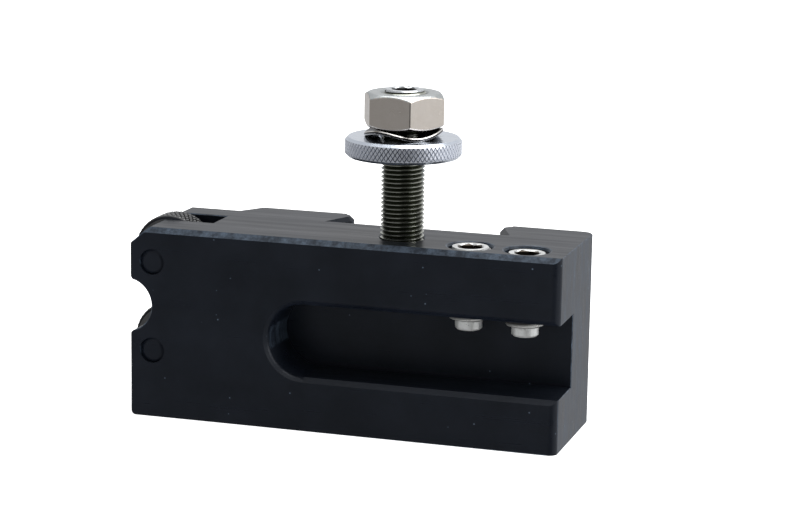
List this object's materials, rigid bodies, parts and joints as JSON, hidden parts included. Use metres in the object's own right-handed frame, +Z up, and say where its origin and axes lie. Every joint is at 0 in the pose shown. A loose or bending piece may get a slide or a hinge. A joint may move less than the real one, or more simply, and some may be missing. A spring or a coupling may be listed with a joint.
{
  "type": "knurling and facing tool holder",
  "caption": "Quick change knurling, turning and facing holder: dovetail block with an open tool slot, clamp screws, height stud with knurled nut, and a two-wheel knurling head.",
  "frame": {"origin": "centre of the dovetail's mouth, on the back face that meets the tool post, at the bottom of the block", "axes": "+X along the tool towards the open end of the tool slot, +Y towards the tool post, +Z up along the dovetail and the height stud"},
  "size_m": [0.1062, 0.0354, 0.0792],
  "materials": {
    "black_oxide_steel": "black oxide, satin, ground faces",
    "dark_stud_steel": "rolled thread, oiled",
    "bright_plated_steel": "bright plating over a diamond knurl",
    "spring_steel": "bright",
    "nickel_plated_steel": "nickel plated",
    "bright_screw_steel": "bright zinc",
    "hardened_wheel_steel": "hardened, diamond knurled",
    "black_pin_steel": "black oxide"
  },
  "bodies": {
    "holder": {"holder_block": "black_oxide_steel", "height_stud": "dark_stud_steel", "upper_wheel_pin": "black_pin_steel", "lower_wheel_pin": "black_pin_steel"},
    "washer": {"spring_washer": "spring_steel"},
    "knurled_nut": {"height_nut": "bright_plated_steel"},
    "hexagon_nut": {"lock_nut": "nickel_plated_steel"},
    "inner_screw": {"inner_clamp_screw": "bright_screw_steel"},
    "outer_screw": {"outer_clamp_screw": "bright_screw_steel"},
    "upper_wheel": {"upper_knurl_wheel": "hardened_wheel_steel"},
    "lower_wheel": {"lower_knurl_wheel": "hardened_wheel_steel"}
  },
  "joints": [
    {"name": "height_travel", "type": "slide", "parent": "holder", "child": "washer", "axis": [0, 0, 1], "range_m": [-0.015, 0.001]},
    {"name": "height_nut_turn", "type": "hinge", "parent": "washer", "child": "knurled_nut", "pos_m": [0, -0.02215, 0.06605], "axis": [0, 0, 1], "range_deg": [-5400, 360]},
    {"name": "lock_nut_turn", "type": "hinge", "parent": "washer", "child": "hexagon_nut", "pos_m": [0, -0.02215, 0.0745], "axis": [0, 0, 1], "range_deg": [-5400, 360]},
    {"name": "inner_clamp", "type": "slide", "parent": "holder", "child": "inner_screw", "axis": [0, 0, 1], "range_m": [-0.009, 0.0037]},
    {"name": "outer_clamp", "type": "slide", "parent": "holder", "child": "outer_screw", "axis": [0, 0, 1], "range_m": [-0.0085, 0.0041]},
    {"name": "upper_wheel_spin", "type": "hinge", "parent": "holder", "child": "upper_wheel", "pos_m": [-0.0571, -0.01885, 0.0369], "axis": [0, 1, 0], "continuous": true},
    {"name": "lower_wheel_spin", "type": "hinge", "parent": "holder", "child": "lower_wheel", "pos_m": [-0.0571, -0.01885, 0.0159], "axis": [0, 1, 0], "continuous": true}
  ],
  "couplings": [
    {"joint": "height_nut_turn", "follows": "height_travel", "rad_per_m": 6283.2},
    {"joint": "lock_nut_turn", "follows": "height_travel", "rad_per_m": 6283.2}
  ]
}
